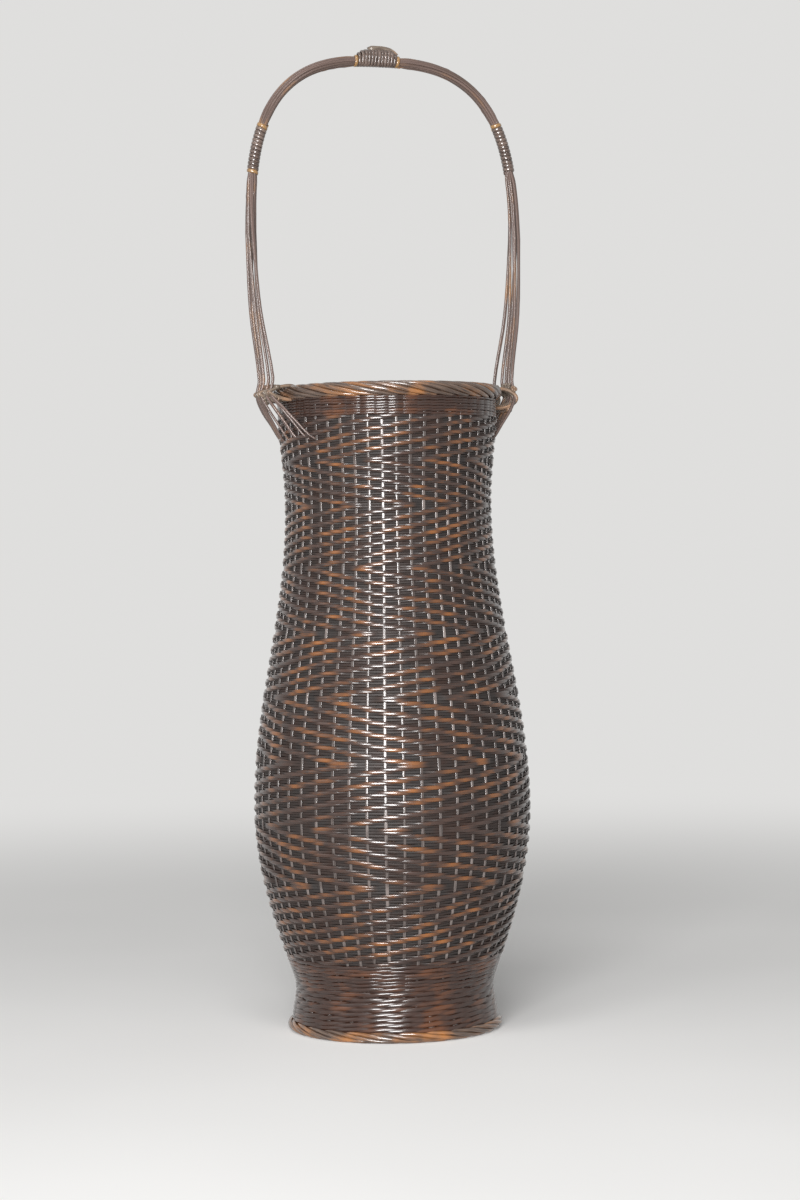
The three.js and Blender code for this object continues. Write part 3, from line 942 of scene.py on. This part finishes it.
def leg_stations(handle, places, sign, turn, tails, gather):
    """Stations of one side's half canes, from their tips in the wall to halfway between rim and arch."""
    rim_low, rim_top = node_height("mouth_border")
    rim = (rim_low + rim_top) / 2
    leg = handle.leg_radius
    tip = node_height("neck_band")[1] - handle.tail_drop
    tuck = tip + 0.003
    bend = tip + 0.010
    # Height, radius and angle round the axis of each station
    route = (
        (tip, wall_radius(tip) - 0.0014, tails * 1.14),
        (tuck, wall_radius(tuck) + 0.0006, tails),
        (bend, wall_radius(bend) + 0.0042, tails * 0.7 + turn * 0.3),
        (rim - 0.0085, leg - 0.0026, turn * 0.6 + tails * 0.4),
        (rim - 0.001, leg + 0.0006, turn),
        (rim + 0.008, leg - 0.0008, turn),
    )
    side = np.array((sign, 1.0, 1.0))
    stations = [radius * outward(about[:, 0]) * side + height * UP for height, radius, about in route]

    middle = (handle.spring + rim_top) / 2
    bowed = sign * (leg + (handle.half_span - leg) * handle.leg_bow)
    aside = beside_arch(handle, places, handle.ring, turn, fanned(middle, gather))
    stations.append(aside * ACROSS + np.array((bowed, 0.0, middle)))
    return np.stack(stations, axis=1)


class BASKET_OT_handle_canes(Operator):
    """Bend the five split canes of the handle"""

    bl_idname = "basket.handle_canes"
    bl_label = "Handle canes"

    def execute(self, context):
        """Each cane is two half-round strips that run side by side, with a few swollen joints, slight waves
        and thinner ends."""
        settings = context.scene.flower_basket
        handle = settings.handle
        draws = np.random.default_rng(67)
        finish = cane_finish(settings.finishes)
        paths = smooth_path(cane_paths(handle), 5)
        run = np.linspace(0, 1, paths.shape[1])
        taper = 0.72 + 0.28 * smoothstep(np.minimum(run, 1 - run) / 0.06)
        bends = 9
        bend_size = 0.0002
        joint_swell = 0.22
        joint_length = 0.004
        for cane in range(CANES):
            pair = paths[2 * cane:2 * cane + 2]
            wave = draws.normal(0, bend_size, (2, bends, 3))
            wave[:, (0, -1)] = 0
            for half in range(2):
                for axis in range(3):
                    pair[half, :, axis] += np.interp(run, np.linspace(0, 1, bends), wave[half, :, axis])
            first, second = along_path(pair, ACROSS)
            joints = draws.uniform(0.05, 0.95, (2, 4, 1))
            swell = 1 + joint_swell * np.exp(-((run - joints) / joint_length) ** 2).sum(axis=1)
            half_width = half_cane(handle) * swell * taper
            points = swept(pair, first, second, half_width, half_width, sides=8, square=0.75)
            strand_piece(f"split_cane_{cane + 1}", points, finish, [f"handle_cane_{cane + 1}"],
                         tone=draws.random(2))
        return {"FINISHED"}


class BASKET_OT_bindings(Operator):
    """Wind the three bindings of the handle and tuck the crown's strip end"""

    bl_idname = "basket.bindings"
    bl_label = "Bindings"

    def execute(self, context):
        """Flat strips wound turn by turn round the bundle, over a mound at the crown. The first and the last
        turn are golden, apart from the lowest on the right."""
        settings = context.scene.flower_basket
        handle = settings.handle
        dark = -0.9
        golden = 1.0
        draws = np.random.default_rng(71)
        finish = binding_finish(settings.finishes)
        for node, (place, reach) in binding_places(handle).items():
            crown = node == "binding_crown"
            turns = handle.crown_turns if crown else handle.binding_turns
            points = winding(handle, place, reach, turns, handle.crown_swell if crown else 0.0)
            tone = draws.normal(dark, 0.25, turns)
            tone[0] = golden
            if node != "binding_right":
                tone[-1] = golden
            strand_piece(f"wound_{node}", points, finish, [node], tone=tone)
        strand_piece("tucked_strip_end", tucked_end(handle), tie_finish(settings.finishes),
                     ["crown_tuck"], tone=np.full(1, 0.4))
        return {"FINISHED"}


def bundle_skin(handle):
    """Radius of the bundle's outer face under a binding."""
    return handle.ring * (1 - handle.draw_in) + half_cane(handle)


def mound_height(along, about, mound, reach):
    """Extra radius of a binding over the crown's mound: a smooth hump along the arch, on its outer side."""
    hump = smoothstep(1.25 * (1 - np.abs(2 * along / reach) ** 2.2))
    return mound * hump * np.clip(np.cos(about), 0, 1) ** 1.5


def winding(handle, place, reach, turns, mound, steps=24):
    """A strip wound as a helix round the arch, one strand for each turn. Its angle about the arch grows
    evenly along it, and its section is as wide as the step from turn to turn."""
    part = np.linspace(0, 1, turns * steps + 1)
    local = (part - 0.5) * reach
    about = 2 * np.pi * turns * part + np.pi
    centre, out, _ = arch_frame(handle, place + local)
    first = np.cos(about)[:, None] * out + np.sin(about)[:, None] * ACROSS
    second = np.cross(out, ACROSS)
    radius = bundle_skin(handle) + handle.strip_thick * 0.45 + mound_height(local, about, mound, reach)
    path = centre + radius[:, None] * first
    half_along = reach / turns * 0.49
    points = swept(path, first, second, handle.strip_thick / 2, half_along, sides=8, square=0.8)
    return points[np.arange(turns)[:, None] * steps + np.arange(steps + 1)]


def tucked_end(handle):
    """The binding's last end, a flat strip laid along the top of the mound. It bends down and aside at both
    ends and narrows towards the far one."""
    half_thick = 0.0004
    widest_half = 0.0021
    dip = 0.0006
    sidestep = 0.0016
    local = np.linspace(-0.004, 0.0112, 24)
    centre, out, _ = arch_frame(handle, local - handle.crown_shift)
    mound = mound_height(local, np.zeros_like(local), handle.crown_swell, handle.crown_length)
    far_bend = smoothstep((local - 0.004) / 0.007)
    near_bend = smoothstep((-0.0028 - local) / 0.0012)
    bend = (far_bend - near_bend)[:, None]
    radius = bundle_skin(handle) + handle.strip_thick * 0.9 + mound
    path = centre + radius[:, None] * out - dip * np.abs(bend) * out - sidestep * bend * ACROSS
    first, second = along_path(path[None], ACROSS)
    half_width = widest_half * (1 - 0.55 * smoothstep((local - 0.002) / 0.0092))
    return swept(path[None], first, second, half_thick, half_width[None], sides=8, square=0.7)


class BASKET_OT_rim_ties(Operator):
    """Lash each leg of the handle to the mouth border"""

    bl_idname = "basket.rim_ties"
    bl_label = "Rim ties"

    def execute(self, context):
        """A strip wound twice round the border and the leg, crossing itself, and a small knot on it. The
        middle leg's strip also goes twice round all the legs of its side."""
        settings = context.scene.flower_basket
        handle = settings.handle
        draws = np.random.default_rng(79)
        finish = tie_finish(settings.finishes)
        for side, sign in SIDES.items():
            for leg, turn in enumerate(leg_turns(handle, side)):
                tone = draws.random(1)
                points = np.concatenate((lashing(handle, sign, draws), small_knot(handle, sign, draws)))
                out = np.array((sign * np.cos(turn), np.sin(turn), 0.0))
                beside = np.cross(UP, out)
                points = points[..., :1] * out + points[..., 1:2] * beside + points[..., 2:] * UP
                if leg == CANES // 2:
                    points = np.concatenate((points, leg_wrap(handle, sign)))
                name = f"{side}_{leg + 1}"
                strand_piece(f"lashing_{name}", points, finish, [f"rim_tie_{name}"], closed=True,
                             tone=np.repeat(tone, len(points)))
        return {"FINISHED"}


def closed_strip(path, reference, half_first, half_second, square=1.0):
    """A strip carried along one closed path."""
    first, second = along_path(path[None], reference, closed=True)
    return swept(path[None], first, second, half_first, half_second, sides=8, square=square)


def lashing(handle, sign, draws, samples=96):
    """Two rounds of a flat strip in the upright plane of a leg, which drift from side to side so that they
    cross. On the left they make a drop shape, round about the border and narrow outside the leg; on the
    right they are rounder and hang lower."""
    low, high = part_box("mouth_border")
    inner = high.x - (high.z - low.z) - handle.tie_thick * 0.3
    outer = handle.leg_radius + handle.split_width + handle.tie_thick * 0.4
    reach = (outer - inner) / 2
    rise = (high.z - low.z) / 2 + handle.tie_thick * 0.4
    drift = 0.0011 * draws.normal(1, 0.15)
    sag, pinch = (0.0018 * draws.normal(1, 0.2), 0.1) if sign > 0 else (0.0, 0.4)
    about = 2 * even_turns(samples)
    out = inner + reach + reach * np.cos(about)
    beside = drift * np.cos(about / 2 + 0.4)
    level = (rise + sag) * np.sin(about) * (0.8 - pinch * np.cos(about)) - sag
    path = np.stack((out, beside, (high.z + low.z) / 2 + level), axis=-1)
    return closed_strip(path, ACROSS, handle.tie_thick / 2, handle.tie_width / 2, 0.8)


def small_knot(handle, sign, draws, samples=96):
    """An overhand knot as a closed trefoil curve: on the right in front of a leg at the border's top, on
    the left between the leg and the border."""
    half_thick = 0.0006
    middle = sum(node_height("mouth_border")) / 2
    size = 0.00058 * draws.normal(1, 0.12)
    t = even_turns(samples)
    swing = 2 + np.cos(3 * t)
    trefoil = np.stack((swing * np.cos(2 * t), np.sin(3 * t), swing * np.sin(2 * t)), axis=-1)
    out, beside, lift = (0.0, -0.0014, 0.0042) if sign > 0 else (-0.0022, 0.0006, -0.0035)
    place = np.array((handle.leg_radius + out, beside, middle + lift + draws.normal(0, 0.0008)))
    return closed_strip(place + size * trefoil, ACROSS, half_thick, half_thick)


def leg_wrap(handle, sign, samples=96):
    """Two rounds of a flat strip about all the legs of one side: a long loop with square ends that runs
    round the axis outside the legs and back inside them, above the border's middle on the left and just
    under the border on the right."""
    half_width = 0.0010
    half_thick = 0.0004
    past_legs = 0.036
    about = 2 * even_turns(samples)
    cosine = signed_power(np.cos(about), 0.5)
    sine = signed_power(np.sin(about), 0.5)
    middle = sum(node_height("mouth_border")) / 2
    lift, inset = (-0.0085, 0.0026) if sign > 0 else (0.003, 0.003)
    turn = (handle.leg_step * (CANES - 1) / 2 + past_legs) * cosine
    radius = handle.leg_radius - inset + 0.0017 * sine
    height = middle + lift + 0.0008 * np.cos(about / 2)
    path = radius[:, None] * outward(turn) * np.array((sign, 1.0, 1.0)) + height[:, None] * UP
    return closed_strip(path, UP, half_width, half_thick, 0.8)


class BASKET_OT_water_tube(Operator):
    """Turn the bamboo water tube that stands in the basket"""

    bl_idname = "basket.water_tube"
    bl_label = "Water tube"

    def execute(self, context):
        """One length of culm, open at its upper end and closed by a joint below."""
        settings = context.scene.flower_basket
        points = culm_surface(settings.tube)[None]
        strand_piece("bamboo_water_tube", points, culm_material(settings.finishes),
                     ["water_tube"], body="liner")
        return {"FINISHED"}


def culm_surface(tube):
    """A profile turned about the axis: underside, outer wall, rim, bore and floor, each as radii and
    heights. At its two joints the outer wall swells by a bell curve of its height."""
    low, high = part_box("water_tube")
    outer = high.x
    bore = outer - tube.wall
    floor = low.z + tube.floor
    pole = 0.001
    joint_width = 0.006
    height = np.linspace(low.z + 0.0015, high.z - 0.001, 60)
    part = (height - low.z) / (high.z - low.z)
    upper_joint = np.exp(-((part - tube.joint_place) / joint_width) ** 2)
    lower_joint = 0.6 * np.exp(-((part - 0.012) / joint_width) ** 2)
    wall = outer - 0.0006 - tube.joint_swell * (1 - np.clip(upper_joint + lower_joint, 0, 1))
    depth = np.linspace(high.z - 0.001, floor + 0.004, 24)
    profile = (
        ((pole, low.z + 0.0012), (bore, low.z + 0.0002), (outer - 0.003, low.z)),
        np.stack((wall, height), axis=-1),
        ((outer - 0.0018, high.z), (bore + 0.0008, high.z)),
        np.stack((np.full_like(depth, bore), depth), axis=-1),
        ((bore - 0.0012, floor + 0.0012), (bore - 0.004, floor)),
        ((bore / 2, floor + 0.0004), (pole, floor + 0.0006)),
    )
    radius, level = np.concatenate(profile).T[..., None, None]
    return radius * outward(even_turns(96)) + level * UP


def culm_material(finishes):
    """Bare bamboo: fine fibres along the culm, slow patches of tone and a satin skin."""
    material, tree, shader = new_material("bamboo culm")
    place = object_place(tree)
    along_culm = {"Vector": place, "Scale": (900.0, 900.0, 14.0)}
    fibre = noise(tree, add_node(tree, "ShaderNodeMapping", along_culm).outputs[0], 1.0, 3.0)
    patch = noise(tree, place, 24.0, 3.0)
    streaks = ramp(tree, added(tree, times(tree, fibre, 0.6), times(tree, patch, 0.4)), 0.36, 0.62)
    skin = mix_colours(tree, streaks, (*finishes.culm_streak, 1), (*finishes.culm_body, 1))
    bump = add_node(tree, "ShaderNodeBump", {"Strength": 0.3, "Distance": 0.0002, "Height": fibre})
    fill(tree, shader, {"Base Color": skin, "Roughness": ramp(tree, fibre, 0.3, 0.7, 0.52, 0.40),
                        "Normal": bump.outputs[0]})
    return material


# Each lamp's way from the basket's middle (towards the camera, right, up), its size and its share of power
LAMPS = {
    "key lamp": ((2.1, -0.27, 0.17), (0.9, 0.86), 1.0),
    "left lamp": ((0.9, -1.8, 0.5), (1.0, 1.4), 0.04),
    "top lamp": ((0.9, -0.2, 1.5), (1.0, 0.6), 0.17),
}
BLACK = (0.0, 0.0, 0.0, 1.0)


class BASKET_OT_stage(Operator):
    """Set the floor, the lamps and the camera"""

    bl_idname = "basket.stage"
    bl_label = "Stage"

    def execute(self, context):
        """A pale floor out to the horizon, soft light from the camera's side and the photograph's view."""
        settings = context.scene.flower_basket
        stage = settings.stage
        lay_floor(settings.finishes)
        light_sky(settings)
        away = np.array((np.sin(stage.azimuth), -np.cos(stage.azimuth), 0.0))
        right = np.array((np.cos(stage.azimuth), np.sin(stage.azimuth), 0.0))
        middle = CAD_BOX[1][2] / 2 * UP
        for name, (way, size, part) in LAMPS.items():
            hang_lamp(name, middle + np.array(way) @ (away, right, UP), middle, size, stage.key_power * part)
        set_camera(stage, away, right)
        return {"FINISHED"}


def lay_floor(finishes):
    """A round floor: rings from near the middle to far away, and quads across the innermost."""
    reach = np.array((0.05, 0.6, 2.0, 8.0, 40.0))
    sides = 64
    points = reach[:, None, None] * outward(even_turns(sides))
    rings, corners = strand_faces(len(reach), sides, closed=False)
    outer_end = sides // 2 - 1
    faces = (rings * sides + corners % sides)[:-outer_end, ::-1]
    mesh = bpy.data.meshes.new("floor")
    mesh.from_pydata(points.reshape(-1, 3).tolist(), [], faces.tolist())
    mesh.materials.append(floor_material(finishes))
    floor = bpy.data.objects.new("floor", mesh)
    bpy.context.collection.objects.link(floor)


def seen_rays(tree):
    """One for what the eye sees, straight, in gloss or through glass, and zero for light on a surface."""
    rays = tree.nodes.new("ShaderNodeLightPath").outputs
    seen = math_node(tree, "MAXIMUM", rays["Is Camera Ray"], rays["Is Glossy Ray"])
    return math_node(tree, "MAXIMUM", seen, rays["Is Transmission Ray"])


def floor_material(finishes):
    """A pale matt floor that takes the basket's shadow and fades into the pale sky further out."""
    material, tree, shader = new_material("pale floor")
    place = object_place(tree)
    away = add_node(tree, "ShaderNodeVectorMath", {0: place}, operation="LENGTH").outputs["Value"]
    fade = add_node(tree, "ShaderNodeMapRange", {"Value": away, "From Min": 0.15, "From Max": 1.6},
                    interpolation_type="SMOOTHERSTEP").outputs[0]
    pale = (*finishes.floor, 1)
    mottle = ramp(tree, noise(tree, place, 3.0, 2.0), 0.3, 0.7, 0.94, 1.0)
    matt = mix_colours(tree, mottle, BLACK, pale)
    glow = times(tree, seen_rays(tree), ramp(tree, fade, 0.0, 1.0, 0.22, 1.0))
    fill(tree, shader, {"Base Color": mix_colours(tree, fade, matt, BLACK), "Roughness": 0.9,
                        "Specular IOR Level": 0.0, "Emission Color": pale, "Emission Strength": glow})
    return material


def light_sky(settings):
    """A pale sky that lights the basket gently and shows at its full colour to the eye and in gloss."""
    world = bpy.data.worlds.new("studio")
    bpy.context.scene.world = world
    world.use_nodes = True
    tree = world.node_tree
    strength = ramp(tree, seen_rays(tree), 0.0, 1.0, settings.stage.sky, 1.0)
    fill(tree, tree.nodes["Background"], {"Color": (*settings.finishes.floor, 1), "Strength": strength})


def look_along(place, target, top):
    """The turn and place of something that looks along its -Z at a target with its +Y towards the top."""
    back = Vector(place - target).normalized()
    right = Vector(top).cross(back).normalized()
    turned = Matrix((right, back.cross(right), back)).transposed().to_4x4()
    return Matrix.Translation(Vector(place)) @ turned


def hang_lamp(name, place, target, size, power):
    """A soft oblong lamp."""
    lamp = bpy.data.lights.new(name, "AREA")
    lamp.shape = "RECTANGLE"
    lamp.size, lamp.size_y = size
    lamp.energy = power
    hung = bpy.data.objects.new(name, lamp)
    hung.matrix_world = look_along(place, target, UP)
    bpy.context.collection.objects.link(hung)


def set_camera(stage, away, right):
    """The photograph's view: level distance, eye height, a slight tilt, a step aside and a roll."""
    camera = bpy.data.cameras.new("camera")
    camera.lens = stage.lens
    camera.clip_end = 100.0
    seat = bpy.data.objects.new("camera", camera)
    place = stage.distance * away + stage.eye * UP + stage.aside * right
    target = place - away + np.tan(stage.tilt) * UP
    top = np.cos(stage.roll) * UP + np.sin(stage.roll) * right
    seat.matrix_world = look_along(place, target, top)
    bpy.context.collection.objects.link(seat)
    bpy.context.scene.camera = seat


class BASKET_PT_panel(Panel):
    """The basket's settings and operators"""

    bl_idname = "BASKET_PT_panel"
    bl_label = "Flower basket"
    bl_space_type = "VIEW_3D"
    bl_region_type = "UI"
    bl_category = "Basket"

    def draw(self, context):
        """Lists every group of settings, then every operator."""
        settings = context.scene.flower_basket
        for name in ("weave", "borders", "handle", "tube", "finishes", "stage"):
            group = getattr(settings, name)
            box = self.layout.box()
            box.label(text=name.capitalize())
            for key in group.bl_rna.properties.keys():
                if key not in ("rna_type", "name"):
                    box.prop(group, key)
        for operator in OPERATORS:
            self.layout.operator(operator.bl_idname)


GROUPS = (WeaveSizes, BorderSizes, HandleSizes, TubeSizes, Finishes, StageSettings, BasketSettings)
OPERATORS = (
    BASKET_OT_stakes,
    BASKET_OT_twill_bands,
    BASKET_OT_twined_bands,
    BASKET_OT_borders,
    BASKET_OT_base_mat,
    BASKET_OT_handle_canes,
    BASKET_OT_bindings,
    BASKET_OT_rim_ties,
    BASKET_OT_water_tube,
    BASKET_OT_stage,
)
CLASSES = (*GROUPS, *OPERATORS, BASKET_PT_panel)


def register():
    """Registers the settings, the operators and the panel."""
    for listed in CLASSES:
        bpy.utils.register_class(listed)
    bpy.types.Scene.flower_basket = PointerProperty(type=BasketSettings)


def unregister():
    """Takes out what register put in."""
    del bpy.types.Scene.flower_basket
    for listed in reversed(CLASSES):
        bpy.utils.unregister_class(listed)


def main():
    """Builds the basket and its stage."""
    register()
    bpy.context.scene.view_settings.view_transform = "Standard"
    bpy.ops.basket.stakes()
    bpy.ops.basket.twill_bands()
    bpy.ops.basket.twined_bands()
    bpy.ops.basket.borders()
    bpy.ops.basket.base_mat()
    bpy.ops.basket.handle_canes()
    bpy.ops.basket.bindings()
    bpy.ops.basket.rim_ties()
    bpy.ops.basket.water_tube()
    bpy.ops.basket.stage()


if __name__ == "__main__":
    main()
